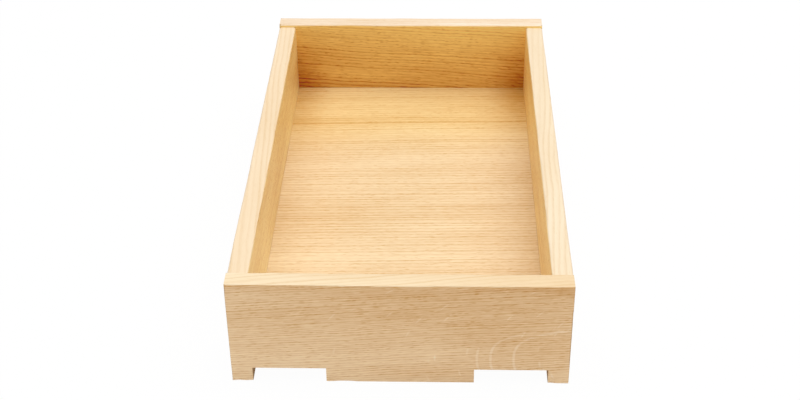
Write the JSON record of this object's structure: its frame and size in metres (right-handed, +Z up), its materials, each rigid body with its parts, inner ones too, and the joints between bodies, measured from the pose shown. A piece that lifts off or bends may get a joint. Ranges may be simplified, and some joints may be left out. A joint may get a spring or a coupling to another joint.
{
  "type": "drawer box",
  "caption": "Open rectangular oak drawer box with a grooved-in base; blind-doweled boards, and a notched end that lets concealed runners in under the base.",
  "frame": {"origin": "on the surface it stands on, under the middle of the box", "axes": "+X across the box, to the right when the notched end is nearest; +Y along it, from the notched end to the plain end; +Z up"},
  "size_m": [0.258, 0.44, 0.092],
  "materials": {
    "oak_board": "planed and sanded oak under a thin clear matt lacquer",
    "oak_veneered_panel": "oak face veneer under a thin clear matt lacquer, grain across the box",
    "beech_dowel": "turned and fluted bare beech"
  },
  "bodies": {
    "root": {"notched_end_board": "oak_board", "plain_end_board": "oak_board", "left_side_board": "oak_board", "right_side_board": "oak_board", "base_panel": "oak_veneered_panel", "near_left_dowels": "beech_dowel", "near_right_dowels": "beech_dowel", "far_left_dowels": "beech_dowel", "far_right_dowels": "beech_dowel"}
  },
  "joints": []
}
